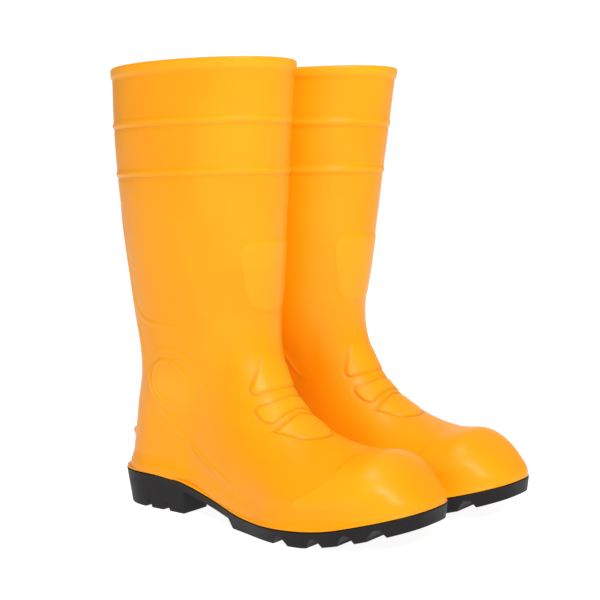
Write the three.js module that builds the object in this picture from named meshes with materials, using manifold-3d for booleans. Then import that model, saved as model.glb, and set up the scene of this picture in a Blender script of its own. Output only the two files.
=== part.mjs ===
import * as THREE from 'three';
import { mergeVertices } from 'three/addons/utils/BufferGeometryUtils.js';
import Module from 'manifold-3d';

const wasm = await Module();
wasm.setup();

// A pair of knee-high moulded safety wellingtons, in millimetres, standing on the floor at z = 0.
// One boot is drawn in its own frame: s runs from the back of the heel to the toe tip,
// t runs outwards from the heel's midline, and z runs up. Both boots point along -y.

// The outsole
const footLength = 310;
const ballWidth = 111.4;
const waistWidth = 77;
const heelWidth = 73;
const heelThickness = 29.5;
const forefootThickness = 12.5;
const toeSpring = 20;
const treadLift = 22;
const soleDraft = 4;
const heelBreast = 84;
const forefootStart = 147;
const shankThickness = 7;

// Cleats
const heelNotches = [43, 64];
const forefootNotches = [206, 236, 262, 284];
const notchWidth = 14;
const heelNotchWidth = 8;
const notchDepth = 7;
const channelWidth = 9;
const channelDepth = 5;

// The upper
const rimHeight = 368;
const ankleHeight = 165;
const upperWall = 2.8;
const upperFloor = 2.2;
const rimBand = { height: 8, proud: 1.2 };
const shaftRib = { height: 4.4, proud: 1.1 };
const ribsBelowRim = [46.5, 86];
const welt = { width: 3, thickness: 2.2 };
const kickLedge = { height: 61, thickness: 6, proud: 3.5, radius: 27 };

// Inner pieces
const liningWall = 1.6;
const liningBelowRim = 4;
const capLength = 62;
const capWall = 1.8;
const capFlange = 9;
const stripLength = 12;
const stripWall = 1.2;
const stripRise = 6;
const plateThickness = 0.6;
const plateClearance = 1;
const foamThickness = 4;
const coverThickness = 0.8;
const insoleClearance = 1.6;
const insoleHeelSlack = 5;
const fillerInset = 11;
const fillerLength = 52;
const fillerDepth = 13;

// Gap between flat faces that touch, between curved skins that touch, and between the two boots
const fitGap = 0.3;
const skinGap = 0.5;
const pairGap = 4;
const stagger = 12;

const rayCount = 24;

// ---- Smooth curve through stations ----

function curve(points, x) {
  const last = points.length - 1;
  if (x <= points[0][0]) return points[0][1];
  if (x >= points[last][0]) return points[last][1];
  let i = 0;
  while (x > points[i + 1][0]) i++;
  const slope = (k) => (points[k + 1][1] - points[k][1]) / (points[k + 1][0] - points[k][0]);
  const tangent = (k) => {
    if (k === 0) return slope(0);
    if (k === last) return slope(last - 1);
    const before = points[k][0] - points[k - 1][0];
    const after = points[k + 1][0] - points[k][0];
    return (slope(k - 1) * after + slope(k) * before) / (before + after);
  };
  const span = points[i + 1][0] - points[i][0];
  const u = (x - points[i][0]) / span;
  return points[i][1] * (1 + 2 * u) * (1 - u) ** 2 + tangent(i) * span * u * (1 - u) ** 2
    + points[i + 1][1] * u * u * (3 - 2 * u) + tangent(i + 1) * span * u * u * (u - 1);
}

const smooth = (x, from, to) => THREE.MathUtils.smoothstep(x, from, to);
const endRound = (u, power) => Math.max(0, 1 - Math.min(Math.max(u, 0), 1) ** power) ** (1 / power);

// ---- The shape of one boot ----

// Footprint: stations are shares of the foot length, widths are from the midline
const midline = [[0, 0], [0.26, 0.9], [0.39, 2.4], [0.52, 5], [0.65, 5.5], [0.78, 2.2], [0.9, 1], [1, 0.8]];
const halfWidth = [
  [0, heelWidth / 2], [0.15, heelWidth / 2], [0.39, waistWidth / 2],
  [0.52, (waistWidth + ballWidth) / 4 - 0.6], [0.65, ballWidth / 2],
  [0.78, ballWidth / 2 - 1.1], [1, ballWidth / 2 - 5],
];
const soleTopLine = [
  [0, heelThickness], [0.13, heelThickness + 0.5], [0.26, heelThickness - 1.5], [0.39, forefootThickness + 7],
  [0.52, forefootThickness], [0.65, forefootThickness], [0.775, forefootThickness + 0.12 * toeSpring],
  [0.9, forefootThickness + 0.57 * toeSpring], [1, forefootThickness + 0.97 * toeSpring],
];
const heelRound = 42;
const toeRound = 86;

const mid = (s) => curve(midline, s / footLength);
const soleTop = (s) => curve(soleTopLine, s / footLength);

// Half width of the footprint, taken in by inset
function footprint(s, inset) {
  const far = footLength - inset;
  if (s <= inset || s >= far) return 0;
  const atHeel = endRound((heelRound - s) / (heelRound - inset), 2.2);
  const atToe = endRound((s - footLength + toeRound) / (toeRound - inset), 2.5);
  return (curve(halfWidth, s / footLength) - inset) * atHeel * atToe;
}

// The leg, as level rings: height, back, front, widest station, half width, lean outwards
const shaft = (share) => ankleHeight + share * (rimHeight - ankleHeight);
const legRings = [
  [20, 4, 140, 48, 35, 0], [30, 5, 150, 48, 35.5, 0], [66, 11.5, 156, 52, 36, 0],
  [90, 16, 159, 60, 38, 0], [115, 22, 160, 72, 42, 0], [135, 21, 156.5, 80, 46, -1],
  [ankleHeight, 14.5, 155, 84.9, 49.5, -1.8], [shaft(0.17), 12.3, 159.9, 86.1, 51.7, 0.3],
  [shaft(0.37), 10.3, 165.1, 87.7, 54.2, 2.6], [shaft(0.58), 8.8, 170.2, 89.5, 56.5, 5.1],
  [shaft(0.77), 9.4, 175.2, 92.3, 58, 7.4], [shaft(1), 11.8, 181.8, 96.8, 59.1, 9.7],
  [shaft(1.1), 12.6, 185, 98.5, 60, 11],
];
const ringCurve = (column) => legRings.map((ring) => [ring[0], ring[column]]);
const [legBack, legFront, legWidest, legHalf, legLean] = [1, 2, 3, 4, 5].map(ringCurve);

// Each field is about the distance in millimetres from the surface, and is below zero inside.
function legField(s, t, z, inset) {
  const widest = curve(legWidest, z);
  const half = curve(legHalf, z) - inset;
  const reach = s < widest ? widest - curve(legBack, z) - inset : curve(legFront, z) - inset - widest;
  return (Math.hypot((t - curve(legLean, z)) / half, (s - widest) / reach) - 1) * half;
}

// The top of the foot from the ankle to the toe, as share of the foot length and height
const footTop = [
  [0.19, 124], [0.355, 129], [0.435, 114], [0.515, 97], [0.6, 83], [0.68, 73.5], [0.76, 68.5],
  [0.81, 67], [0.87, 68.4], [0.935, 64.2], [1, 57],
];
const heelTuck = [[0.1, 0.8], [0.23, 0.86], [0.4, 1]];
const sectionPower = [[0.19, 2.2], [0.48, 2], [0.74, 2.1], [1, 2.3]];
const toeDrop = { length: 44, power: 2.1 };
const widestRise = 14;

function footField(s, t, z, inset) {
  const share = s / footLength;
  const end = footLength - welt.width - inset;
  const low = soleTop(s);
  const drop = endRound((s - end + toeDrop.length) / toeDrop.length, toeDrop.power);
  const high = low + (curve(footTop, share) - inset - low) * drop;
  const widest = low + Math.min(widestRise, 0.3 * (high - low));
  const half = Math.max(footprint(s, welt.width + inset) * curve(heelTuck, share), 0.3);
  const across = Math.abs(t - mid(s)) / half;
  const power = curve(sectionPower, share);
  const rise = Math.max(high - widest, 0.3);
  const tuck = 1 - 0.035 * THREE.MathUtils.clamp((widest - z) / widestRise, 0, 1.5) ** 2;
  const arched = () => (across ** power + ((z - widest) / rise) ** power) ** (1 / power);
  const ratio = z > widest ? arched() : across / tuck;
  const field = (ratio - 1) * Math.max(half, 8);
  if (s > end) return Math.max(field, 0) + s - end;
  if (s < 30) return Math.max(field, 0) + 30 - s;
  return field;
}

const blend = [[0, 3.5], [90, 3.5], [130, 24], [footLength, 24]];

function bootField(s, t, z, inset) {
  const leg = legField(s, t, z, inset);
  const foot = footField(s, t, z, inset);
  const reach = curve(blend, s);
  const near = Math.max(reach - Math.abs(leg - foot), 0) / reach;
  return Math.min(leg, foot) - near * near * reach / 4;
}

// ---- Rows of rays that sample the surface ----

// Each row runs round the boot: over its front, along both sides and over its back point.
// A low row's front rays start inside the foot and rise at a tilt: each row holds that start's
// share of the foot length and its height over the sole, the tilt in degrees, and the height of
// the back point as a share of the way from the sole to the ankle.
const along = (share) => share * footLength;
const backReach = 38;
const lowRows = [
  [0.83, 0, 0, 0], [0.83, 4.5, 0, 0.03], [0.83, 9, 6, 0.07], [0.83, 13, 25, 0.12], [0.82, 17, 48, 0.18],
  [0.8, 20, 66, 0.24], [0.75, 26, 76, 0.31], [0.69, 33, 74, 0.38], [0.63, 40, 66, 0.45],
  [0.58, 50, 55, 0.53], [0.53, 62, 44, 0.62], [0.47, 76, 32, 0.71], [0.41, 92, 20, 0.8], [0.36, 110, 9, 0.9],
].map(([share, rise, tilt, backShare]) => {
  const backZ = THREE.MathUtils.lerp(soleTop(0), ankleHeight, backShare);
  const sag = Math.max(0, 1 - 2 * backShare);
  const toeSlope = Math.atan2(soleTop(footLength) - soleTop(along(0.83)), along(0.17));
  return {
    start: [along(share), soleTop(along(share)) + rise],
    tilt: sag * toeSlope + THREE.MathUtils.degToRad(tilt),
    back: [curve(legBack, backZ) + backReach, backZ],
    sag,
  };
});

// A level row round the leg, proud of its surface where a band or a rib stands out
const levelRow = (z, proud = 0) => {
  const reach = 0.75 * curve(legHalf, z);
  const [back, front] = [curve(legBack, z) + reach, curve(legFront, z) - reach];
  return { start: [front, z], tilt: 0, back: [back, z], sag: 0, proud };
};
const plainRows = [...lowRows, ...[ankleHeight, shaft(0.17), shaft(0.37)].map((z) => levelRow(z))];

function rowRays(row, lift) {
  const [frontS, frontZ] = row.start;
  const [backS, backZ] = row.back;
  const chord = (s) => THREE.MathUtils.mapLinear(s, backS, frontS, soleTop(0), soleTop(frontS));
  const rays = [];
  for (let i = 0; i < rayCount; i++) {
    const angle = 2 * Math.PI * i / rayCount;
    const heading = Math.cos(angle);
    const s = THREE.MathUtils.lerp(backS, frontS, (1 + heading) / 2);
    const height = THREE.MathUtils.lerp(backZ, frontZ, (1 + heading) / 2);
    const z = height + row.sag * (soleTop(s) - chord(s) + lift(s));
    const t = THREE.MathUtils.lerp(mid(s), curve(legLean, z), smooth(backZ, 40, 150));
    const tilt = heading > 0 ? row.tilt : 0;
    const direction = [heading * Math.cos(tilt), Math.sin(angle), heading * Math.sin(tilt)];
    rays.push({ from: [s, t, z], along: direction });
  }
  return rays;
}

const pointOn = (ray, distance) => ray.from.map((value, k) => value + ray.along[k] * distance);

// Where a ray leaves the region in which outside() is below zero
function leave(ray, outside) {
  const step = 3;
  let near = 0;
  let far = step;
  while (outside(...pointOn(ray, far)) < 0) {
    near = far;
    far += step;
  }
  for (let i = 0; i < 24; i++) {
    const middle = (near + far) / 2;
    if (outside(...pointOn(ray, middle)) < 0) near = middle;
    else far = middle;
  }
  return pointOn(ray, near);
}

// ---- Closed bodies from loops ----

// Loops of equal length, the first and last of them folded flat onto the chord.
// Quads of the last band are split the other way, so that the top and the floor of nested
// layers meet with the same folds.
function closedLoft(loops) {
  const count = loops[0].length;
  const positions = [];
  const place = ([s, t, z]) => positions.push(t, footLength / 2 - s, z);
  for (let row = 0; row + 1 < loops.length; row++) {
    const closing = row + 2 === loops.length;
    for (let i = 0; i < count; i++) {
      const next = (i + 1) % count;
      const [a, b] = [loops[row][i], loops[row][next]];
      const [c, d] = [loops[row + 1][next], loops[row + 1][i]];
      (closing ? [a, b, d, b, c, d] : [a, b, c, a, c, d]).forEach(place);
    }
  }
  const geometry = new THREE.BufferGeometry();
  geometry.setAttribute('position', new THREE.Float32BufferAttribute(positions, 3));
  return solidOf(geometry);
}

function solidOf(geometry) {
  const bare = geometry.index ? geometry.toNonIndexed() : geometry;
  bare.deleteAttribute('normal');
  bare.deleteAttribute('uv');
  const merged = mergeVertices(bare, 1e-3);
  const corners = merged.index.array;
  const kept = [];
  for (let i = 0; i < corners.length; i += 3) {
    const [a, b, c] = corners.slice(i, i + 3);
    if (a !== b && b !== c && c !== a) kept.push(a, b, c);
  }
  const vertProperties = merged.attributes.position.array;
  return new wasm.Manifold(new wasm.Mesh({ numProp: 3, vertProperties, triVerts: new Uint32Array(kept) }));
}

const level = (value) => () => value;
const onSole = (points, lift) => points.map(([s, t]) => [s, t, soleTop(s) + lift(s)]);
const footprintEdge = (rays, inset) => rays.map((ray) => {
  const flat = { from: ray.from, along: [ray.along[0], ray.along[1], 0] };
  return leave(flat, (s, t) => Math.abs(t - mid(s)) - footprint(s, inset));
});

// The solid that fills one layer of the boot from its floor to the last row.
// inset(s) is how far the layer lies inside the outer surface, lift(s) how far above the sole.
// base holds the loops below the first row, where they aren't just the floor's midline.
function lastSolid({ inset, lift }, rows, base) {
  const outsideOf = (row) => (s, t, z) => bootField(s, t, z, inset(s) - (row.proud ?? 0));
  const surface = (row, rays) => rays.map((ray) => leave(ray, outsideOf(row)));
  const floorRays = rowRays(rows[0], lift);
  const floor = base ?? [onSole(floorRays.map((ray) => ray.from), lift)];
  const loops = [...floor, onSole(surface(rows[0], floorRays), lift)];
  rows.slice(1).forEach((row) => loops.push(surface(row, rowRays(row, lift))));
  const top = rowRays(rows[rows.length - 1], lift);
  loops.push(top.map((ray) => ray.from));
  return closedLoft(loops);
}

// A prism whose outline lies in the s-z plane, right across the boot
function sidePrism(outline) {
  const shape = new THREE.Shape(outline.map(([s, z]) => new THREE.Vector2(s, z)));
  const geometry = new THREE.ExtrudeGeometry(shape, { depth: 2 * ballWidth, bevelEnabled: false });
  geometry.translate(0, 0, -ballWidth);
  const toBoot = new THREE.Matrix4().set(0, 0, -1, 0, -1, 0, 0, footLength / 2, 0, 1, 0, 0, 0, 0, 0, 1);
  return solidOf(geometry.applyMatrix4(toBoot));
}

// A prism whose outline lies in the s-t plane
function uprightPrism(outline, low, high) {
  const shape = new THREE.Shape(outline.map(([s, t]) => new THREE.Vector2(t, footLength / 2 - s)));
  const geometry = new THREE.ExtrudeGeometry(shape, { depth: high - low, bevelEnabled: false });
  return solidOf(geometry.translate(0, 0, low));
}

function block(fromS, toS, fromZ, toZ) {
  return sidePrism([[fromS, fromZ], [toS, fromZ], [toS, toZ], [fromS, toZ]]);
}

// ---- Layers, from the outside in ----

const capRear = footLength - capLength;
const plateTop = upperFloor + fitGap + plateThickness;
// How much of the toe cap's room the lining gives up at station s
const capShare = (s) => smooth(s, capRear - stripLength - 28, capRear - stripLength - 9);
const capRoom = (s) => capShare(s) * (capWall + skinGap);
const layers = {
  cavity: { inset: level(upperWall), lift: level(upperFloor) },
  capOutside: { inset: level(upperWall + skinGap), lift: level(plateTop + fitGap) },
  capInside: { inset: level(upperWall + skinGap + capWall), lift: level(plateTop + fitGap + capWall) },
  stripInside: { inset: level(upperWall + skinGap + stripWall), lift: level(plateTop + fitGap + stripWall) },
  liningOutside: {
    inset: (s) => upperWall + skinGap + capRoom(s),
    lift: (s) => plateTop + fitGap + capRoom(s),
  },
  liningInside: {
    inset: (s) => upperWall + skinGap + capRoom(s) + liningWall,
    lift: (s) => plateTop + fitGap + capRoom(s) + liningWall,
  },
};

// Heights of the ribs, from the lowest up, and the rows of a layer that ends at height z
const ribHeights = ribsBelowRim.map((drop) => rimHeight - drop).reverse();
const rowsTo = (z) => [...plainRows, ...ribHeights.map((height) => levelRow(height)), levelRow(z)];

// ---- The pieces of one boot ----

function upper() {
  const ribRows = (z) => {
    const half = shaftRib.height / 2;
    return [levelRow(z - half), levelRow(z - 0.35 * half, shaftRib.proud),
      levelRow(z + 0.35 * half, shaftRib.proud), levelRow(z + half)];
  };
  const bandLow = rimHeight - rimBand.height;
  const rows = [
    ...plainRows, ...ribHeights.flatMap(ribRows),
    levelRow(bandLow - 0.6), levelRow(bandLow + 0.6, rimBand.proud),
    levelRow(rimHeight - 1, rimBand.proud), levelRow(rimHeight, rimBand.proud - 0.8),
  ];
  const weltRays = rowRays(rows[0], level(0));
  const edge = footprintEdge(weltRays, fitGap);
  const weltLift = level(welt.thickness);
  const centre = onSole(weltRays.map((ray) => ray.from), level(0));
  const base = [centre, onSole(edge, level(0)), onSole(edge, weltLift)];
  const shell = lastSolid({ inset: level(0), lift: weltLift }, rows, base);
  const swollen = lastSolid({ inset: level(-kickLedge.proud), lift: level(0) }, plainRows);
  const ledgeMiddle = curve(legBack, kickLedge.height) - kickLedge.proud + kickLedge.radius;
  const ring = [];
  for (let i = 0; i < 24; i++) {
    const angle = 2 * Math.PI * i / 24;
    ring.push([ledgeMiddle + kickLedge.radius * Math.cos(angle), kickLedge.radius * Math.sin(angle)]);
  }
  const ledgeLow = kickLedge.height - kickLedge.thickness / 2;
  const ledge = swollen.intersect(uprightPrism(ring, ledgeLow, ledgeLow + kickLedge.thickness));
  return shell.add(ledge).subtract(lastSolid(layers.cavity, rowsTo(rimHeight + 6)));
}

function lining() {
  const top = rimHeight - liningBelowRim;
  const hollow = lastSolid(layers.liningInside, rowsTo(top + 6));
  return lastSolid(layers.liningOutside, rowsTo(top)).subtract(hollow);
}

function toeCap() {
  const shell = lastSolid(layers.capOutside, plainRows).subtract(lastSolid(layers.capInside, plainRows));
  const floorRays = rowRays(plainRows[0], level(0));
  const flangeEdge = footprintEdge(floorRays, welt.width + upperWall + skinGap + capFlange);
  const hole = uprightPrism(flangeEdge, 0, forefootThickness + toeSpring + capFlange);
  return shell.intersect(block(capRear, footLength, 0, rimHeight)).subtract(hole);
}

function capStrip() {
  const shell = lastSolid(layers.capOutside, plainRows).subtract(lastSolid(layers.stripInside, plainRows));
  const rear = capRear - stripLength;
  const front = capRear - fitGap;
  const low = soleTop(capRear) + plateTop + stripRise;
  return shell.intersect(block(rear, front, low, rimHeight));
}

// A flat sheet that follows the sole, from one lift to another, with its edge kept off a layer's wall
// and its heel end short of it by the slack
function insertSheet(layer, clearance, low, high, heelSlack = 0) {
  const face = (lift) => {
    const rays = rowRays(lowRows[0], lift);
    const edge = rays.map((ray) => {
      const [s, t, z] = leave(ray, (...point) => bootField(...point, layer.inset(point[0]) + clearance));
      return [s + heelSlack * Math.max(0, -ray.along[0]), t, z];
    });
    return { edge: onSole(edge, lift), centre: onSole(rays.map((ray) => ray.from), lift) };
  };
  const [bottom, top] = [face(low), face(high)];
  return closedLoft([bottom.centre, bottom.edge, top.edge, top.centre]);
}

const steelPlate = () => insertSheet(
  layers.cavity, plateClearance, level(upperFloor + fitGap), level(plateTop));

const insoleLift = (extra) => (s) => layers.liningInside.lift(s) + extra;
const insoleSheet = (low, thickness) => insertSheet(
  layers.liningInside, insoleClearance, insoleLift(low), insoleLift(low + thickness), insoleHeelSlack);
const insoleFoam = () => insoleSheet(fitGap, foamThickness);
const insoleCover = () => insoleSheet(fitGap + foamThickness + fitGap, coverThickness);

// The sole block before its cleats are cut
function soleBlank() {
  const rays = rowRays(lowRows[0], level(0));
  const ground = (points) => points.map(([s, t]) => [s, t, 0]);
  const centre = rays.map((ray) => ray.from);
  const below = level(-fitGap);
  return closedLoft([
    ground(centre), ground(footprintEdge(rays, soleDraft)),
    onSole(footprintEdge(rays, 0), below), onSole(centre, below),
  ]);
}

// Everything below the tread line: the toe spring, the arch and the notches between the cleats
function treadCuts() {
  const under = -5;
  const springStart = along(0.72);
  const springEnd = footLength + 5;
  const springAt = (s) => {
    const u = (s - springStart) / (springEnd - springStart);
    return treadLift * Math.max(0, u) ** 1.3;
  };
  const toe = [[springStart, under], [springStart, 0]];
  for (let i = 1; i <= 5; i++) {
    const s = THREE.MathUtils.lerp(springStart, springEnd, i / 5);
    toe.push([s, springAt(s)]);
  }
  toe.push([springEnd, under]);
  const shankMiddle = (heelBreast + forefootStart) / 2;
  const arch = [
    [heelBreast, under], [heelBreast, 0], [heelBreast + 3, soleTop(heelBreast) - shankThickness],
    [shankMiddle, soleTop(shankMiddle) - shankThickness],
    [forefootStart - 4, soleTop(forefootStart) - shankThickness], [forefootStart, 0], [forefootStart, under],
  ];
  const notch = (s, width) => {
    const [rear, front, floor] = [s - width / 2, s + width / 2, springAt(s)];
    return [[rear, under], [rear, floor], [s, floor + notchDepth], [front, floor], [front, under]];
  };
  const heelCuts = heelNotches.map((s) => notch(s, heelNotchWidth));
  const forefootCuts = forefootNotches.map((s) => notch(s, notchWidth));
  return [toe, arch, ...heelCuts, ...forefootCuts].map(sidePrism).reduce((all, cut) => all.add(cut));
}

function channel(fromS, toS) {
  const side = channelWidth / 2;
  const [rear, front] = [mid(fromS), mid(toS)];
  const outline = [[fromS, rear - side], [toS, front - side], [toS, front + side], [fromS, rear + side]];
  return uprightPrism(outline, -5, channelDepth);
}

// Outline of the heel pocket, taken in by gap
function pocketOutline(gap) {
  const [from, to] = [fillerInset + gap, fillerInset + fillerLength - gap];
  const edge = [];
  for (let i = 0; i <= 8; i++) {
    const s = THREE.MathUtils.lerp(from + 1, to, i / 8);
    edge.push([s, footprint(s, fillerInset + gap)]);
  }
  return [...edge, ...[...edge].reverse().map(([s, half]) => [s, -half])];
}
const pocketFloor = heelThickness - fillerDepth;

function outsole() {
  const pocket = uprightPrism(pocketOutline(0), pocketFloor, 2 * heelThickness);
  const heelChannel = channel(heelNotches[0] - 14, heelBreast + 1);
  const ballChannel = channel(forefootStart - 1, forefootNotches.at(-1));
  return soleBlank().subtract(treadCuts()).subtract(pocket).subtract(heelChannel).subtract(ballChannel);
}

const heelFiller = () => soleBlank().intersect(
  uprightPrism(pocketOutline(fitGap), pocketFloor + fitGap, 2 * heelThickness));

// ---- Materials and assembly ----

function material(color, roughness, metalness = 0) {
  return new THREE.MeshStandardMaterial({ color, roughness, metalness });
}

const materials = {
  yellow: material(0xfdb11a, 0.38),
  black: material(0x2d2a2b, 0.55),
  knit: material(0xe9e2d0, 0.95),
  steel: material(0x9aa0a6, 0.35, 1),
  rubber: material(0x3a3a3c, 0.8),
  plug: material(0x6f6a63, 0.85),
  foam: material(0x3b3f46, 0.95),
  felt: material(0x8c8f94, 0.98),
};

function meshOf(name, solid, look) {
  const { vertProperties, triVerts } = solid.getMesh();
  const geometry = new THREE.BufferGeometry();
  geometry.setAttribute('position', new THREE.BufferAttribute(new Float32Array(vertProperties), 3));
  geometry.setIndex(new THREE.BufferAttribute(new Uint32Array(triVerts), 1));
  geometry.computeVertexNormals();
  const mesh = new THREE.Mesh(geometry, look);
  mesh.name = name;
  return mesh;
}

const pieces = [
  ['upper', upper(), materials.yellow],
  ['lining', lining(), materials.knit],
  ['outsole', outsole(), materials.black],
  ['toe_cap', toeCap(), materials.steel],
  ['toe_cap_strip', capStrip(), materials.rubber],
  ['steel_midsole', steelPlate(), materials.steel],
  ['heel_filler', heelFiller(), materials.plug],
  ['insole_foam', insoleFoam(), materials.foam],
  ['insole_cover', insoleCover(), materials.felt],
];

// How far one boot reaches inwards from its midline, at the rim or at the ball
const rimReach = curve(legHalf, rimHeight) + rimBand.proud - curve(legLean, rimHeight);
const ballReach = ballWidth / 2 - mid(along(0.69));
const bootSpacing = 2 * Math.max(rimReach, ballReach) + pairGap;

const group = new THREE.Group();
for (const [side, sign] of [['right', -1], ['left', 1]]) {
  const boot = new THREE.Group();
  boot.position.set(sign * bootSpacing / 2, -sign * stagger / 2, 0);
  boot.scale.x = sign;
  pieces.forEach(([name, solid, look]) => boot.add(meshOf(`${side}_${name}`, solid, look)));
  group.add(boot);
}

export default group;
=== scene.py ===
import math

import bmesh
import bpy
import numpy as np
from mathutils import Matrix, Vector


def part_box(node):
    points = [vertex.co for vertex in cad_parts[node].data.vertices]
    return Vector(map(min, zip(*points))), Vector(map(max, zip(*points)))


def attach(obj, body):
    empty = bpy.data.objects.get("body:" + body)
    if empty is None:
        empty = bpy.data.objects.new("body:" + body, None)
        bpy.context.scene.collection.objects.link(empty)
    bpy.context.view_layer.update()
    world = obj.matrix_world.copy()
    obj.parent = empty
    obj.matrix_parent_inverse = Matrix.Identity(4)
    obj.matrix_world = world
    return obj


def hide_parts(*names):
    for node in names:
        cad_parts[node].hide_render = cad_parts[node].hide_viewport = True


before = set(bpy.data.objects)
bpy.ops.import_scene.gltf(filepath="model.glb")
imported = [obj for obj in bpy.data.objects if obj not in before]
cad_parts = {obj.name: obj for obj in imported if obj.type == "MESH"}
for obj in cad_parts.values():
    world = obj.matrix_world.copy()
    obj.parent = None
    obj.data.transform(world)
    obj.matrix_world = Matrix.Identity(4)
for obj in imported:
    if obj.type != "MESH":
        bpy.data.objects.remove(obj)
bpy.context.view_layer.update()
print("frame loaded:", len(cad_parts), "solids")

# A boot is shaped in millimetres in its own frame: s runs from the back of the heel to the toe,
# t outwards from the heel's midline, z up. The right boot stands at negative x.
metres = 0.001
sides = {"right": -1, "left": 1}


def curve(points, x):
    # smooth curve through stations, level beyond its ends
    px, py = np.array(points, float).T
    slope = np.diff(py) / np.diff(px)
    gap = np.diff(px)
    inner = (slope[:-1] * gap[1:] + slope[1:] * gap[:-1]) / (gap[:-1] + gap[1:])
    tangent = np.concatenate([slope[:1], inner, slope[-1:]])
    x = np.clip(np.asarray(x, float), px[0], px[-1])
    i = np.clip(np.searchsorted(px, x, side="right") - 1, 0, len(gap) - 1)
    u = (x - px[i]) / gap[i]
    rise = py[i] * (1 + 2 * u) * (1 - u) ** 2 + py[i + 1] * u * u * (3 - 2 * u)
    return rise + gap[i] * (tangent[i] * u * (1 - u) ** 2 + tangent[i + 1] * u * u * (u - 1))


def smooth(x, start, stop):
    u = np.clip((x - start) / (stop - start), 0, 1)
    return u * u * (3 - 2 * u)


def lerp(a, b, u):
    return a + (b - a) * u


def endRound(u, power):
    return np.maximum(0, 1 - np.clip(u, 0, 1) ** power) ** (1 / power)


soleLow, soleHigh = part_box("left_outsole")
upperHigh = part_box("left_upper")[1]

last = {
    "length": (soleHigh.y - soleLow.y) / metres,
    "ball": 111.4,
    "waist": 77,
    "heel": 73,
    "rim": upperHigh.z / metres,
    "ankle": 165,
    "heelThickness": 29.5,
    "soleThickness": 12.5,
    "toeSpring": 20,
    "heelRound": 42,
    "toeRound": 86,
    "wall": 2.8,
    "floor": 2.2,
    "weltWidth": 3,
    "weltThickness": 2.2,
    "footStart": 30,  # the foot's form begins here, and the leg's stands behind it
    "toeDrop": 44,
    "toeDropPower": 2.1,
    "widestRise": 14,  # the foot is widest at this height over the sole, or at a share of its own
    "widestShare": 0.3,
    "tuckIn": 0.035,
    "thinnest": 0.3,
    "narrowScale": 8,
    "heelPower": 2.2,
    "toePower": 2.5,
}
length = last["length"]


def share(u):
    return u * length


def shaft(u):
    return lerp(last["ankle"], last["rim"], u)


midPoints = [[0, 0], [0.26, 0.9], [0.39, 2.4], [0.52, 5], [0.65, 5.5], [0.78, 2.2], [0.9, 1], [1, 0.8]]
widthPoints = [
    [0, last["heel"] / 2], [0.15, last["heel"] / 2], [0.39, last["waist"] / 2],
    [0.52, (last["waist"] + last["ball"]) / 4 - 0.6], [0.65, last["ball"] / 2],
    [0.78, last["ball"] / 2 - 1.1], [1, last["ball"] / 2 - 5],
]
thin, thick, spring = last["soleThickness"], last["heelThickness"], last["toeSpring"]
topPoints = [
    [0, thick], [0.13, thick + 0.5], [0.26, thick - 1.5], [0.39, thin + 7], [0.52, thin], [0.65, thin],
    [0.775, thin + 0.12 * spring], [0.9, thin + 0.57 * spring], [1, thin + 0.97 * spring],
]
# the leg as level rings: height, back, front, widest station, half width, lean outwards
legRings = np.array([
    [20, 4, 140, 48, 35, 0], [30, 5, 150, 48, 35.5, 0], [66, 11.5, 156, 52, 36, 0],
    [90, 16, 159, 60, 38, 0], [115, 22, 160, 72, 42, 0], [135, 21, 156.5, 80, 46, -1],
    [last["ankle"], 14.5, 155, 84.9, 49.5, -1.8], [shaft(0.17), 12.3, 159.9, 86.1, 51.7, 0.3],
    [shaft(0.37), 10.3, 165.1, 87.7, 54.2, 2.6], [shaft(0.58), 8.8, 170.2, 89.5, 56.5, 5.1],
    [shaft(0.77), 9.4, 175.2, 92.3, 58, 7.4], [shaft(1), 11.8, 181.8, 96.8, 59.1, 9.7],
    [shaft(1.1), 12.6, 185, 98.5, 60, 11],
])
footTop = [
    [0.19, 124], [0.355, 129], [0.435, 114], [0.515, 97], [0.6, 83], [0.68, 73.5], [0.76, 68.5],
    [0.81, 67], [0.87, 68.4], [0.935, 64.2], [1, 57],
]
heelTuck = [[0.1, 0.8], [0.23, 0.86], [0.4, 1]]
sectionPower = [[0.19, 2.2], [0.48, 2], [0.74, 2.1], [1, 2.3]]
blendReach = [[0, 3.5], [90, 3.5], [130, 24], [310, 24]]


def mid(s):
    return curve(midPoints, s / length)


def soleTop(s):
    return curve(topPoints, s / length)


def leg(z, column):
    return curve(legRings[:, [0, column]], z)


def legBack(z):
    return leg(z, 1)


def legFront(z):
    return leg(z, 2)


def lean(z):
    return leg(z, 5)


def footprint(s, inset):
    # half width of the footprint, taken in by inset
    atHeel = endRound((last["heelRound"] - s) / (last["heelRound"] - inset), last["heelPower"])
    atToe = endRound((s - length + last["toeRound"]) / (last["toeRound"] - inset), last["toePower"])
    half = (curve(widthPoints, s / length) - inset) * atHeel * atToe
    return np.where((s <= inset) | (s >= length - inset), 0, half)


def legField(s, t, z, inset):
    widest = leg(z, 3)
    half = leg(z, 4) - inset
    reach = np.where(s < widest, widest - legBack(z), legFront(z) - widest) - inset
    return (np.hypot((t - lean(z)) / half, (s - widest) / reach) - 1) * half


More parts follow.
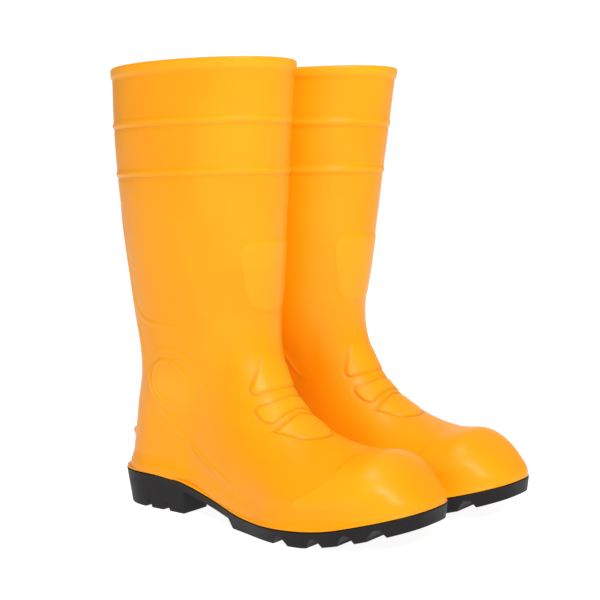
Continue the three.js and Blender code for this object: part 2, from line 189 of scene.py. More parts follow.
def footField(s, t, z, inset):
    part = s / length
    end = length - last["weltWidth"] - inset
    low = soleTop(s)
    drop = endRound((s - end + last["toeDrop"]) / last["toeDrop"], last["toeDropPower"])
    high = low + (curve(footTop, part) - inset - low) * drop
    widest = low + np.minimum(last["widestRise"], last["widestShare"] * (high - low))
    half = np.maximum(footprint(s, last["weltWidth"] + inset) * curve(heelTuck, part), last["thinnest"])
    across = np.abs(t - mid(s)) / half
    power = curve(sectionPower, part)
    rise = np.maximum(high - widest, last["thinnest"])
    tuck = 1 - last["tuckIn"] * np.clip((widest - z) / last["widestRise"], 0, 1.5) ** 2
    over = (across ** power + (np.maximum(z - widest, 0) / rise) ** power) ** (1 / power)
    ratio = np.where(z > widest, over, across / tuck)
    field = (ratio - 1) * np.maximum(half, last["narrowScale"])
    field = np.where(s > end, np.maximum(field, 0) + s - end, field)
    return np.where(s < last["footStart"], np.maximum(field, 0) + last["footStart"] - s, field)


def bootField(s, t, z, inset):
    # about the distance in millimetres from the surface, below zero inside
    legPart, footPart = legField(s, t, z, inset), footField(s, t, z, inset)
    reach = curve(blendReach, s)
    near = np.maximum(reach - np.abs(legPart - footPart), 0) / reach
    return np.minimum(legPart, footPart) - near * near * reach / 4


# share of the length where a row starts, its height over the sole, the tilt of its front rays in
# degrees, and its back point's share of the way up to the ankle
lowRows = np.array([
    [0.83, 0, 0, 0], [0.83, 4.5, 0, 0.03], [0.83, 9, 6, 0.07], [0.83, 13, 25, 0.12],
    [0.82, 17, 48, 0.18], [0.8, 20, 66, 0.24], [0.75, 26, 76, 0.31], [0.69, 33, 74, 0.38],
    [0.63, 40, 66, 0.45], [0.58, 50, 55, 0.53], [0.53, 62, 44, 0.62], [0.47, 76, 32, 0.71],
    [0.41, 92, 20, 0.8], [0.36, 110, 9, 0.9],
])
# how rays find the surface: steps of some millimetres, then halvings
search = {
    "step": 4, "halvings": 16, "reach": 130, "edgeHalvings": 26, "backReach": 38, "levelReach": 0.75,
    "middleBlend": (40, 150),
}


def levelRow(z):
    reach = search["levelReach"] * leg(z, 4)
    return [legFront(z) - reach, z, 0, legBack(z) + reach, z, 0]


def coarseRows():
    front = lowRows[0, 0]
    starts = share(lowRows[:, 0])
    backZ = lerp(soleTop(0), last["ankle"], lowRows[:, 3])
    sag = np.maximum(0, 1 - 2 * lowRows[:, 3])
    slope = math.atan2(soleTop(length) - soleTop(share(front)), share(1 - front))
    tilt = sag * slope + np.radians(lowRows[:, 2])
    backS = legBack(backZ) + search["backReach"]
    low = np.stack([starts, soleTop(starts) + lowRows[:, 1], tilt, backS, backZ, sag], 1)
    return np.vstack([low, levelRow(last["ankle"])])


def rowsUpTo(heights, perBand):
    # smooth rows from the sole to the ankle, then level ones at the given heights
    coarse = coarseRows()
    index = np.arange(len(coarse))
    steps = np.linspace(0, index[-1], index[-1] * perBand + 1)
    fine = np.stack([curve(np.stack([index, column], 1), steps) for column in coarse.T], 1)
    return np.vstack([fine] + [levelRow(z) for z in heights])


def shaftHeights(step, top, margin):
    # heights from the ankle up to the top, which is always the last
    return np.append(np.arange(last["ankle"] + step, top - margin, step), top)


def turns(columns):
    return np.linspace(0, 2 * math.pi, columns, endpoint=False)


def sampleRows(rows, inset, lift, columns, pinned=True, room=None):
    # points (row, column, s t z) where each row's rays leave the layer at that inset; room(s) is a
    # further inset that changes along the foot, and a pinned first row lies on the sole's own curve
    inset = np.broadcast_to(np.asarray(inset, float), len(rows))[:, None]
    frontS, frontZ, tilt, backS, backZ, sag = (column[:, None] for column in rows.T)
    angle = turns(columns)[None, :]
    heading = np.cos(angle)

    def extra(s):
        return room(s) if room else 0 * s

    s = lerp(backS, frontS, (1 + heading) / 2)
    chord = soleTop(0) + (soleTop(frontS) - soleTop(0)) * (s - backS) / (frontS - backS)
    z = lerp(backZ, frontZ, (1 + heading) / 2) + sag * (soleTop(s) - chord + lift + extra(s))
    t = lerp(mid(s), lean(z), smooth(backZ, *search["middleBlend"]))
    tilt = np.where(heading > 0, tilt, 0)
    way = np.stack([heading * np.cos(tilt), np.sin(angle) + 0 * tilt, heading * np.sin(tilt)])
    start = np.stack([s, t, z])

    def outside(distance):
        place = start + way * distance
        return bootField(*place, inset + extra(place[0])) >= 0

    near, far = np.zeros_like(s), np.zeros_like(s)
    stillInside = np.ones_like(s, bool)
    while stillInside.any():
        near = np.where(stillInside, far, near)
        far = np.where(stillInside, far + search["step"], far)
        stillInside &= ~outside(far)
    for _ in range(search["halvings"]):
        middle = (near + far) / 2
        out = outside(middle)
        far, near = np.where(out, middle, far), np.where(out, near, middle)
    points = np.moveaxis(start + way * near, 0, -1)
    if pinned:
        points[0, :, 2] = soleTop(points[0, :, 0]) + lift + extra(points[0, :, 0])
    return points


def spine(columns):
    # the starts of the lowest row's rays, on the sole's midline
    row = coarseRows()[0]
    s = lerp(row[3], row[0], (1 + np.cos(turns(columns))) / 2)
    return s, mid(s)


def footprintLoop(inset, lift, columns):
    # one loop round the footprint, at a height over the sole's top
    s0, t0 = spine(columns)
    alongS, alongT = np.cos(turns(columns)), np.sin(turns(columns))
    near, far = np.zeros(columns), np.full(columns, float(search["reach"]))
    for _ in range(search["edgeHalvings"]):
        middle = (near + far) / 2
        s, t = s0 + alongS * middle, t0 + alongT * middle
        out = np.abs(t - mid(s)) - footprint(s, inset) >= 0
        far, near = np.where(out, middle, far), np.where(out, near, middle)
    s, t = s0 + alongS * near, t0 + alongT * near
    return np.stack([s, t, soleTop(s) + lift], 1)


def centreLoop(lift, columns):
    s, t = spine(columns)
    return np.stack([s, t, soleTop(s) + lift], 1)


def rolledRim(height, inset, radius, turn, columns):
    # loops over a rounded rim about a point in the wall
    rows = np.array([levelRow(height + radius * math.sin(a)) for a in turn])
    return sampleRows(rows, inset - radius * np.cos(turn), 0, columns, pinned=False)


def innerEdge():
    s = np.linspace(1, length - 1, 600)
    return (mid(s) - footprint(s, 0)).min()


innerX = soleLow.x / metres - innerEdge()  # from the pair's middle to a heel's midline


def toRow(points, side):
    # from a boot's own frame to the row frame, in metres
    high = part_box(side + "_outsole")[1].y
    points = np.asarray(points, float)
    return np.stack([
        sides[side] * (innerX + points[..., 1]) * metres,
        high - points[..., 0] * metres,
        points[..., 2] * metres,
    ], -1)


def loopsToMesh(loops):
    # closed body from loops of equal length, folded flat at both ends
    count = loops.shape[1]
    vertices = loops.reshape(-1, 3)
    row, col = np.meshgrid(np.arange(len(loops) - 1), np.arange(count), indexing="ij")
    after = (col + 1) % count
    faces = np.stack([
        row * count + col, row * count + after, (row + 1) * count + after, (row + 1) * count + col], -1)
    return vertices, faces.reshape(-1, 4).tolist()


weld = {"skin": 0.02, "cutter": 0.001}


def weldMesh(mesh, distance):
    body = bmesh.new()
    body.from_mesh(mesh)
    bmesh.ops.remove_doubles(body, verts=body.verts, dist=distance * metres)
    bmesh.ops.dissolve_degenerate(body, edges=body.edges, dist=distance * metres / 4)
    bmesh.ops.recalc_face_normals(body, faces=body.faces)
    body.to_mesh(mesh)
    body.free()


def addPiece(name, side, vertices, faces, welded=weld["skin"], proud=None):
    # vertices in millimetres in the boot's frame; the left boot's faces are turned round
    if sides[side] > 0:
        faces = [face[::-1] for face in faces]
    mesh = bpy.data.meshes.new(name)
    mesh.from_pydata(toRow(vertices, side).tolist(), [], faces)
    if proud is not None:
        mesh.attributes.new("proud", "FLOAT", "POINT").data.foreach_set("value", proud)
    piece = bpy.data.objects.new(name, mesh)
    bpy.context.scene.collection.objects.link(piece)
    weldMesh(mesh, welded)
    mesh.shade_smooth()
    return piece


def gridNormals(points):
    # unit normals of a grid whose columns close on themselves, pointing away from the boot
    across = np.roll(points, -1, 1) - np.roll(points, 1, 1)
    up = np.gradient(points, axis=0)
    normal = np.cross(across, up)
    return normal / np.maximum(np.linalg.norm(normal, axis=-1, keepdims=True), 1e-9)


def settle(points, rounds, keepEnds=2):
    # light smoothing of a grid, with its end rows left where they are
    for _ in range(rounds):
        around = (np.roll(points, -1, 1) + np.roll(points, 1, 1)) / 2
        middle = points.copy()
        middle[1:-1] = (points[:-2] + points[2:]) / 2
        mean = (around + middle) / 2
        points[keepEnds:-keepEnds] = lerp(points, mean, 0.5)[keepEnds:-keepEnds]
    return points


# The reliefs of the upper, in millimetres: how far the skin stands proud, and where
relief = {
    "rimBand": 8, "rimProud": 1.2, "rimEdge": 0.8,
    "ribsBelowRim": [46.5, 86], "ribHeight": 4.4, "ribProud": 1.1, "ribShape": 0.42,
    "ribGroove": 0.36, "ribGrooveWidth": 1.1, "ribGrooveAt": 0.75, "middleBlend": (60, 150),
    "shinRear": 149, "shinLow": 168, "shinHigh": 227, "shinRound": 11, "shinProud": 0.8,
    "shinEdge": (-0.2, 1.6), "shinFrom": 120,
    "disc": (78, 112), "discRadii": (19, 25), "discEdge": (-1.4, 0.4), "discProud": 0.45,
    "ringProud": 0.75, "ringWidth": 1.1, "ringInside": 1, "dish": 0.76, "dishDeep": 0.35, "dishWidth": 1.6,
    "skirtProud": 0.55, "skirtFade": (-2, 16),
    "stripLow": 75, "stripHigh": 111, "stripHalf": 11, "stripEdge": (-1.5, 0.8), "stripProud": 2.2,
    "stripLowEdge": 1.2, "stripHighFade": 10, "heelWithin": 60,
    "spurHeight": 61, "spurHalf": 3, "spurProud": 3.5, "spurReach": 20, "spurFade": 6, "spurWithin": 45,
    "capLine": [[36, 218], [40, 225], [47, 236], [55, 243], [62, 247], [70, 250]],
    "capProud": 0.8, "capEdge": (-1.6, 2.6), "capFade": (262, 304), "capRise": (8, 24), "capBelow": 90,
    "seamProud": 0.22, "seamWidth": 1.1, "seamAbove": 2, "seamFade": (9, 12),
    "footProud": 2.4, "footFade": (2, 18),
}
# raised lines through points s z, which fade over shares of their length at their two ends
lineWidth = 1.3
raisedLines = {
    "calf": {
        "proud": 0.85, "fades": (0.2, 0.2),
        "points": [[24, 262], [28, 240], [33, 208], [40, 176], [55, 162], [83, 158], [108, 157]],
    },
    "heelCounter": {
        "proud": 1.0, "fades": (0.12, 0.22),
        "points": [[40, 170], [44, 147], [50, 125], [55, 112], [65, 88], [80, 72], [101, 56], [133, 41],
                   [176, 28]],
    },
    "ankleBrow": {
        "proud": 0.8, "fades": (0.12, 0.3),
        "points": [[64, 134], [76, 138.5], [88, 138.5], [97, 134], [104, 125], [110, 113], [117, 106],
                   [129, 103]],
    },
}
ankleFold = {
    "deep": 0.7, "width": 6, "fades": (0.4, 0.4),
    "points": [[134, 150], [132, 139], [128, 122], [126, 108]],
}
# the three pads over the instep: their edges are heights at distances q from the middle line
pads = {
    "proud": 0.7, "edge": 1.2, "groove": 0.6, "grooveWidth": 0.75, "grooveOut": 0.3, "half": 27,
    "within": (135, 225),
    "highFloor": [[0, 110.5], [14, 108.5], [25, 105], [40, 100]],
    "highSide": [[100, 26], [107, 25.3], [133, 13], [140, 9]], "highCorner": 3.5, "highFade": (122, 138),
    "middleTop": [[0, 103], [10, 101.5], [22, 98], [40, 90]],
    "middleFloor": [[0, 94.5], [12, 92], [20, 88], [27, 84], [40, 76]], "middleCorner": 4,
    "lowTop": [[0, 90.5], [9, 88.5], [19, 84.5], [27, 79.5], [40, 70]],
    "lowFloor": [[0, 75], [10, 75], [20, 76], [27, 79.5], [40, 86]],
}


def lineGap(points, s, z, fades):
    # distance to a smooth line through points, and a mask that fades at its two ends
    points = np.array(points, float)
    index = np.arange(len(points))
    steps = np.linspace(0, index[-1], 5 * index[-1] + 1)
    line = np.stack([curve(np.stack([index, column], 1), steps) for column in points.T], 1)
    best, along = np.full(s.shape, np.inf), np.zeros(s.shape)
    for k, (start, stop) in enumerate(zip(line[:-1], line[1:])):
        step = stop - start
        u = np.clip(((s - start[0]) * step[0] + (z - start[1]) * step[1]) / (step @ step), 0, 1)
        gap = np.hypot(s - start[0] - u * step[0], z - start[1] - u * step[1])
        closer = gap < best
        best, along = np.where(closer, gap, best), np.where(closer, (k + u) / (len(line) - 1), along)
    return best, smooth(along, 0, fades[0]) * smooth(1 - along, 0, fades[1])


def bead(gap, width, height):
    return height * np.exp(-(gap / width) ** 2)


def within(distance, reach, edge):
    # one inside the reach, falling to zero across the edge
    return 1 - smooth(distance, reach + edge[0], reach + edge[1])


def roundedInside(a, b, radius):
    # how far inside both edges a point is, with the corner between them rounded
    corner = radius - np.hypot(np.maximum(radius - a, 0), np.maximum(radius - b, 0))
    return np.where((a < radius) & (b < radius), corner, np.minimum(a, b))


def insteps(q, z):
    # how far the pads stand proud, with a fine groove round each
    corner, fromSide = pads["middleCorner"], pads["half"] - q
    overHigh, fromHighSide = z - curve(pads["highFloor"], q), curve(pads["highSide"], z) - q
    high = roundedInside(overHigh, fromHighSide, pads["highCorner"])
    underTop = roundedInside(curve(pads["middleTop"], q) - z, fromSide, corner)
    overFloor = roundedInside(z - curve(pads["middleFloor"], q), fromSide, corner)
    low = np.minimum(curve(pads["lowTop"], q) - z, z - curve(pads["lowFloor"], q))
    total = np.zeros(q.shape)
    highFade = 1 - smooth(z, *pads["highFade"])
    for depth, fade in ((high, highFade), (np.minimum(underTop, overFloor), 1), (low, 1)):
        groove = bead(depth + pads["grooveOut"], pads["grooveWidth"], pads["groove"])
        total += (pads["proud"] * smooth(depth, 0, pads["edge"]) - groove) * fade
    return total


def shaftRelief(s, z):
    # rim band, the two ribs with a groove under each, and the shin panel wrapped round the front
    band, rib = last["rim"] - relief["rimBand"], relief["ribHeight"]
    total = relief["rimProud"] * smooth(z, band - relief["rimEdge"], band + relief["rimEdge"])
    for below in relief["ribsBelowRim"]:
        fromRib = z - last["rim"] + below
        total += relief["ribProud"] * np.exp(-(np.abs(fromRib) / (relief["ribShape"] * rib)) ** 4)
        total -= bead(fromRib + relief["ribGrooveAt"] * rib, relief["ribGrooveWidth"], relief["ribGroove"])
    halfTall = (relief["shinHigh"] - relief["shinLow"]) / 2
    fromEnd = halfTall - np.abs(z - relief["shinLow"] - halfTall)
    panel = roundedInside(s - relief["shinRear"], fromEnd, relief["shinRound"])
    return total + relief["shinProud"] * smooth(panel, *relief["shinEdge"]) * (s > relief["shinFrom"])


def ankleDisc(s, z):
    # a dished disc with a ring, and a lower step round its lower half
    atS, atZ = relief["disc"]
    inner, outer = relief["discRadii"]
    away = np.hypot(s - atS, z - atZ)
    total = relief["discProud"] * within(away, inner, relief["discEdge"])
    total += bead(away - inner + relief["ringInside"], relief["ringWidth"], relief["ringProud"])
    total -= bead(away - inner * relief["dish"], relief["dishWidth"], relief["dishDeep"])
    lower = within(z, atZ, relief["skirtFade"])
    return total + relief["skirtProud"] * within(away, outer, relief["discEdge"]) * lower


def heelRelief(s, z, offMiddle):
    # strip up the back of the heel, the kick-off spur under it and the seam over it
    low, high, edge = relief["stripLow"], relief["stripHigh"], relief["stripLowEdge"]
    tall = smooth(z, low - edge, low + edge) * (1 - smooth(z, high - relief["stripHighFade"], high))
    strip = tall * within(offMiddle, relief["stripHalf"], relief["stripEdge"])
    total = relief["stripProud"] * strip * (s < relief["heelWithin"])
    spur = np.exp(-(np.abs(z - relief["spurHeight"]) / relief["spurHalf"]) ** 3)
    spur *= within(offMiddle, relief["spurReach"], (-relief["spurFade"], relief["spurFade"]))
    total += relief["spurProud"] * spur * (s < relief["spurWithin"])
    over = (s < relief["heelWithin"]) & (z > high + relief["seamAbove"])
    seam = bead(offMiddle, relief["seamWidth"], relief["seamProud"]) * over
    return total + seam * smooth(last["rim"] - z, *relief["seamFade"])


def capBulge(s, z):
    # the toe swells a little in front of a line across the foot
    bulge = smooth(s - curve(relief["capLine"], z), *relief["capEdge"])
    bulge *= (1 - smooth(s, *relief["capFade"])) * smooth(z - soleTop(s), *relief["capRise"])
    return relief["capProud"] * bulge * (z < relief["capBelow"])


def sharpRelief(s, t, z):
    offMiddle = np.abs(t - lerp(mid(s), lean(z), smooth(z, *relief["middleBlend"])))
    total = shaftRelief(s, z) + ankleDisc(s, z) + heelRelief(s, z, offMiddle) + capBulge(s, z)
    for line in raisedLines.values():
        gap, mask = lineGap(line["points"], s, z, line["fades"])
        total += bead(gap, lineWidth, line["proud"]) * mask
    low, high = pads["within"]
    return total + insteps(offMiddle, z) * (s > low) * (s < high)


def softRelief(s, z):
    # the wall runs out over the welt, and folds softly over the ankle
    gap, mask = lineGap(ankleFold["points"], s, z, ankleFold["fades"])
    runOut = relief["footProud"] * (1 - smooth(z - soleTop(s), *relief["footFade"]))
    return runOut - bead(gap, ankleFold["width"], ankleFold["deep"]) * mask


# the upper's mesh: insets and heights of the welt's edge, and how finely the rows lie
upper = {
    "columns": 432, "rowsPerBand": 13, "shaftStep": 1.7, "shaftMargin": 0.5, "settling": 3,
    "innerRowsPerBand": 2, "innerLevels": 7, "innerAboveAnkle": 25, "innerBelowRim": 3, "rimSteps": 9,
    "skinLift": 0.1, "weltEdge": [[1.4, 0], [0.6, 0.15], [0.3, 0.6], [0.3, 1.1], [0.45, 1.5], [0.6, 1.8]],
}


def makeUpperShape():
    # loops from under the welt, up the skin, over the rim and down to the floor inside
    columns, wall = upper["columns"], last["wall"]
    rimRound = (wall + relief["rimProud"]) / 2
    top = last["rim"] - rimRound
    rows = rowsUpTo(shaftHeights(upper["shaftStep"], top, upper["shaftMargin"]), upper["rowsPerBand"])
    skin = sampleRows(rows, 0, last["weltThickness"] + upper["skinLift"], columns)
    skin = settle(skin, upper["settling"])
    s, t, z = np.moveaxis(skin, -1, 0)
    proud = sharpRelief(s, t, z)
    skin = skin + gridNormals(skin) * (proud + softRelief(s, z))[..., None]

    under = [centreLoop(0, columns)]
    under += [footprintLoop(inset, lift, columns) for inset, lift in upper["weltEdge"]]
    turn = np.linspace(0, math.pi, upper["rimSteps"])[1:]
    roll = rolledRim(top, (wall - relief["rimProud"]) / 2, rimRound, turn, columns)
    lowest, highest = last["ankle"] + upper["innerAboveAnkle"], top - upper["innerBelowRim"]
    innerRows = rowsUpTo(np.linspace(lowest, highest, upper["innerLevels"]), upper["innerRowsPerBand"])
    inside = sampleRows(innerRows, wall, last["floor"], columns)[::-1]
    floor = centreLoop(last["floor"], columns)[None]
    loops = np.concatenate([np.stack(under), skin, roll, inside, floor])
    marks = np.zeros(loops.shape[:2])
    marks[len(under):len(under) + len(skin)] = proud
    return loops, marks.ravel().astype(np.float32)


print("shaping the uppers")
upperLoops, upperProud = makeUpperShape()
upperVertices, upperFaces = loopsToMesh(upperLoops)
uppers = {}
for side in sides:
    uppers[side] = addPiece(side + "_boot_upper", side, upperVertices, upperFaces, proud=upperProud)
print("upper faces:", len(uppers["right"].data.polygons))


# The knit lining, bonded inside the upper and stepped in over the toe cap
liner = {
    "wall": 1.6, "gap": 0.5, "belowRim": 4, "floor": 3.4, "capWall": 1.8, "capLength": 62, "strip": 12,
    "capStep": (-28, -9), "columns": 180, "rimSteps": 7,
    "outerStep": 8, "outerMargin": 3, "outerRowsPerBand": 2,
    "innerStep": 3, "innerMargin": 1, "innerRowsPerBand": 5,
}


def capRoom(s):
    # further room over the toe for the steel cap
    rear = length - liner["capLength"] - liner["strip"]
    start, stop = liner["capStep"]
    return smooth(s, rear + start, rear + stop) * (liner["capWall"] + liner["gap"])


def liningFloor(extra=0):
    return liner["floor"] + extra


def makeLiningShape():
    # loops up the outside, over the rim and down the inside
    columns, wall = liner["columns"], liner["wall"]
    low, high = liningFloor(), liningFloor(wall)
    outset = last["wall"] + liner["gap"]
    top = last["rim"] - liner["belowRim"] - wall / 2
    outerHeights = shaftHeights(liner["outerStep"], top, liner["outerMargin"])
    innerHeights = shaftHeights(liner["innerStep"], top, liner["innerMargin"])
    outerRows = rowsUpTo(outerHeights, liner["outerRowsPerBand"])
    innerRows = rowsUpTo(innerHeights, liner["innerRowsPerBand"])
    outer = sampleRows(outerRows, outset, low, columns, room=capRoom)
    turn = np.linspace(0, math.pi, liner["rimSteps"])[1:-1]
    roll = rolledRim(top, outset + wall / 2, wall / 2, turn, columns)
    inner = sampleRows(innerRows, outset + wall, high, columns, room=capRoom)[::-1]
    bottom, floor = centreLoop(low, columns), centreLoop(high, columns)
    return np.concatenate([bottom[None], outer, roll, inner, floor[None]])


print("shaping the linings")
liningVertices, liningFaces = loopsToMesh(makeLiningShape())
linings = {}
for side in sides:
    linings[side] = addPiece(side + "_knit_lining", side, liningVertices, liningFaces)


# The insole: a foam bed with a felt cover, loose in the boot
insole = {
    "clearance": 1.7, "heelSlack": 5.2, "columns": 160, "foam": 4, "cover": 0.8, "gap": 0.3,
    "coverGap": 0.18, "rounding": 0.9, "roundingShare": 0.45, "foamCrown": 0.25, "coverCrown": 0.35,
    "underShares": (0, 0.4, 0.8, 0.97), "topShare": 0.985, "topLoops": 22,
    "ripple": 0.3, "rippleLength": 9, "rippleFade": (150, 200),
}


def insoleEdge():
    # the insole's outline, off the lining's wall
    wall = last["wall"] + liner["gap"] + liner["wall"] + insole["clearance"]
    edge = sampleRows(coarseRows()[:1], wall, 0, insole["columns"], room=capRoom)[0]
    edge[:, 0] += insole["heelSlack"] * np.maximum(0, -np.cos(turns(insole["columns"])))
    return edge


def insoleLoops(low, high, crown):
    # loops from the middle of the underside, out round the edge and back over the top
    edge, centre = insoleEdge(), centreLoop(0, insole["columns"])
    base = liningFloor(liner["wall"])
    rounding = min(insole["rounding"], (high - low) * insole["roundingShare"])
    profile = [(u, low) for u in insole["underShares"]] + [(1, low + rounding), (1, high - rounding)]
    profile += [(u, high) for u in np.linspace(insole["topShare"], 0, insole["topLoops"])]
    loops = []
    for u, lift in profile:
        loop = lerp(centre, edge, u)
        s, hollow = loop[:, 0], 0
        if lift == high:
            ripple = np.cos(s / insole["rippleLength"]) * smooth(s, *insole["rippleFade"])
            hollow = crown * (1 - u ** 4) * (1 - insole["ripple"] + insole["ripple"] * ripple)
        loop[:, 2] = soleTop(s) + capRoom(s) + base + lift - hollow
        loops.append(loop)
    return np.stack(loops)


print("shaping the insoles")
foamTop = insole["gap"] + insole["foam"]
foamLoops = insoleLoops(insole["gap"], foamTop, insole["foamCrown"])
coverTop = foamTop + insole["gap"] + insole["cover"]
coverLoops = insoleLoops(foamTop + insole["coverGap"], coverTop, insole["coverCrown"])
foams, covers = {}, {}
for side in sides:
    foams[side] = addPiece(side + "_foam_bed", side, *loopsToMesh(foamLoops))
    covers[side] = addPiece(side + "_felt_cover", side, *loopsToMesh(coverLoops))


# The outsole: a drafted block, cut by the toe spring, the arch, the notches and the channels
sole = {
    "draft": 4, "draftLevels": (0, 0.25, 0.5, 0.75), "shoulder": [(0.2, -1.3), (0, -0.8)],
    "topInset": 0.35, "topGap": 0.3, "columns": 288, "across": 130, "under": -6, "past": 8,
    "liftStart": 0.72, "liftEnd": 5, "lift": 22, "liftPower": 1.3, "liftSteps": 24,
    "heelBreast": 84, "forefootStart": 147, "shank": 7, "archSlopes": (3, 4), "archSteps": 16,
    "heelNotches": [43, 64], "heelNotchWidth": 8, "forefootNotches": [206, 236, 262, 284],
    "notchWidth": 14, "notchDepth": 7, "notchTip": 0.16, "notchFlare": 0.8,
    "channelWidth": 9, "channelDepth": 5, "channelBehind": 14, "channelOverlap": 1, "channelSteps": 12,
    "bevel": 0.7, "bevelSegments": 2, "bevelAngle": 32, "sharpAngle": 30,
}


def soleBlank():
    # drafted from the ground to the welt, and rounded a little under it
    columns, gap = sole["columns"], sole["topGap"]
    ground = centreLoop(0, columns)
    ground[:, 2] = 0
    loops = [ground]
    for up in sole["draftLevels"]:
        loop = footprintLoop(sole["draft"] * (1 - up), -gap, columns)
        loop[:, 2] *= up
        loops.append(loop)
    for inset, lift in sole["shoulder"] + [(sole["topInset"], -gap)]:
        loops.append(footprintLoop(inset, lift, columns))
    return loopsToMesh(np.stack(loops + [centreLoop(-gap, columns)]))


def prism(outline, low, high, axes):
    # a prism over an outline: its points lie in the two axes, and it runs along the third
    outline = np.array(outline, float)
    third = 3 - sum(axes)
    count = len(outline)
    ends = []
    for level in (low, high):
        points = np.zeros((count, 3))
        points[:, axes[0]], points[:, axes[1]], points[:, third] = outline[:, 0], outline[:, 1], level
        ends.append(points)
    faces = [list(range(count))[::-1], list(range(count, 2 * count))]
    faces += [[k, (k + 1) % count, count + (k + 1) % count, count + k] for k in range(count)]
    return np.concatenate(ends), faces


def treadHeight(s):
    # the tread leaves the floor towards the toe
    start, end = share(sole["liftStart"]), length + sole["liftEnd"]
    return sole["lift"] * np.maximum(0, (s - start) / (end - start)) ** sole["liftPower"]


def treadPrisms():
    # side outlines of what the toe spring, the arch and the notches take away
    under, start, end = sole["under"], share(sole["liftStart"]), length + sole["past"]
    toe = [[s, treadHeight(s)] for s in np.linspace(start, end, sole["liftSteps"])]
    toe += [[end, under], [start, under]]
    breast, fore = sole["heelBreast"], sole["forefootStart"]
    rear, front = sole["archSlopes"]
    roof = np.linspace(breast + rear, fore - front, sole["archSteps"])
    arch = [[breast, under], [breast, 0]] + [[s, soleTop(s) - sole["shank"]] for s in roof]
    arch += [[fore, 0], [fore, under]]
    widths = [(s, sole["heelNotchWidth"]) for s in sole["heelNotches"]]
    widths += [(s, sole["notchWidth"]) for s in sole["forefootNotches"]]
    notches = []
    for s, width in widths:
        half, tip, low = width / 2, sole["notchTip"] * width, treadHeight(s)
        wide, top = half + sole["notchFlare"], low + sole["notchDepth"]
        notches.append([[s - wide, under], [s - half, low], [s - tip, top],
                        [s + tip, top], [s + half, low], [s + wide, under]])
    return [[toe], [arch], notches]


def channelPrisms():
    # plan outlines of the channels along the middle of the heel and the forefoot
    half, over = sole["channelWidth"] / 2, sole["channelOverlap"]
    heelSpan = (sole["heelNotches"][0] - sole["channelBehind"], sole["heelBreast"] + over)
    foreSpan = (sole["forefootStart"] - over, sole["forefootNotches"][-1])
    outlines = []
    for low, high in (heelSpan, foreSpan):
        s = np.linspace(low, high, sole["channelSteps"])
        outlines.append([[a, mid(a) - half] for a in s] + [[a, mid(a) + half] for a in s[::-1]])
    return outlines


def joined(solids):
    vertices, faces, base = [], [], 0
    for points, polygons in solids:
        vertices.append(points)
        faces += [[i + base for i in polygon] for polygon in polygons]
        base += len(points)
    return np.concatenate(vertices), faces


def cutPiece(piece, cutters, side):
    for k, (vertices, faces) in enumerate(cutters):
        cutter = addPiece(f"cutter{k}", side, vertices, faces, weld["cutter"])
        cut = piece.modifiers.new("cut", "BOOLEAN")
        cut.operation, cut.solver, cut.object = "DIFFERENCE", "EXACT", cutter
        applyModifiers(piece)
        bpy.data.objects.remove(cutter)


def applyModifiers(piece):
    bpy.context.view_layer.update()
    evaluated = piece.evaluated_get(bpy.context.evaluated_depsgraph_get())
    mesh = bpy.data.meshes.new_from_object(evaluated)
    old = piece.data
    piece.modifiers.clear()
    piece.data = mesh
    bpy.data.meshes.remove(old)


def makeOutsole(side):
    piece = addPiece(side + "_cleated_sole", side, *soleBlank(), weld["cutter"])
    across, under, depth = sole["across"], sole["under"], sole["channelDepth"]
    cutters = [joined([prism(o, -across, across, (0, 2)) for o in group]) for group in treadPrisms()]
    cutters.append(joined([prism(o, under, depth, (0, 1)) for o in channelPrisms()]))
    cutPiece(piece, cutters, side)
    bevel = piece.modifiers.new("bevel", "BEVEL")
    bevel.width, bevel.segments = sole["bevel"] * metres, sole["bevelSegments"]
    bevel.limit_method, bevel.angle_limit = "ANGLE", math.radians(sole["bevelAngle"])
    applyModifiers(piece)
    weldMesh(piece.data, weld["skin"])
    piece.data.shade_smooth()
    piece.data.set_sharp_from_angle(angle=math.radians(sole["sharpAngle"]))
    return piece


print("cutting the outsoles")
outsoles = {side: makeOutsole(side) for side in sides}
print("outsole faces:", len(outsoles["right"].data.polygons))


class Wire:
    # a socket of a material, with arithmetic that adds Math nodes
    def __init__(self, look, socket):
        self.look, self.socket = look, socket

    def math(self, operation, *values):
        return self.look.node("ShaderNodeMath", {"operation": operation}, dict(enumerate(values)))

    def __add__(self, other):
        return self.math("ADD", self, other)

    def __radd__(self, other):
        return self.math("ADD", other, self)

    def __mul__(self, other):
        return self.math("MULTIPLY", self, other)

    def __rmul__(self, other):
        return self.math("MULTIPLY", other, self)


